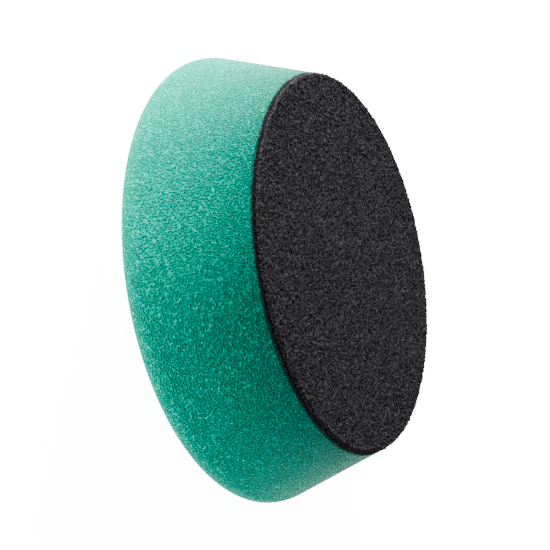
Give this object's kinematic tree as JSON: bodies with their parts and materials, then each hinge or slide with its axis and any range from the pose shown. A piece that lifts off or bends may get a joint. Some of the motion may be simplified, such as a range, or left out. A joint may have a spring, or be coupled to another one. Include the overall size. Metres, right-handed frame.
{
  "type": "polishing pad",
  "caption": "Tapered open-cell foam polishing pad with a rounded working edge and a bonded hook-and-loop backing, for a small machine polisher.",
  "frame": {"origin": "centre of the flat working face, where the pad rests", "axes": "+Z along the spin axis, from the working face to the loop backing; +X and +Y lie in the working face, and the pad is round, so they are free"},
  "size_m": [0.09, 0.09, 0.0265],
  "materials": {
    "teal_foam": "matt open-cell polyurethane foam, cut and ground",
    "adhesive": "translucent hot-melt film, seen only as a thin pale line at the rim",
    "ground_knit": "knitted nylon ground cloth",
    "loop_nap": "brushed nylon loops, matt"
  },
  "bodies": {
    "root": {"foam_body": "teal_foam", "adhesive_film": "adhesive", "ground_cloth": "ground_knit", "loop_pile": "loop_nap"}
  },
  "joints": []
}
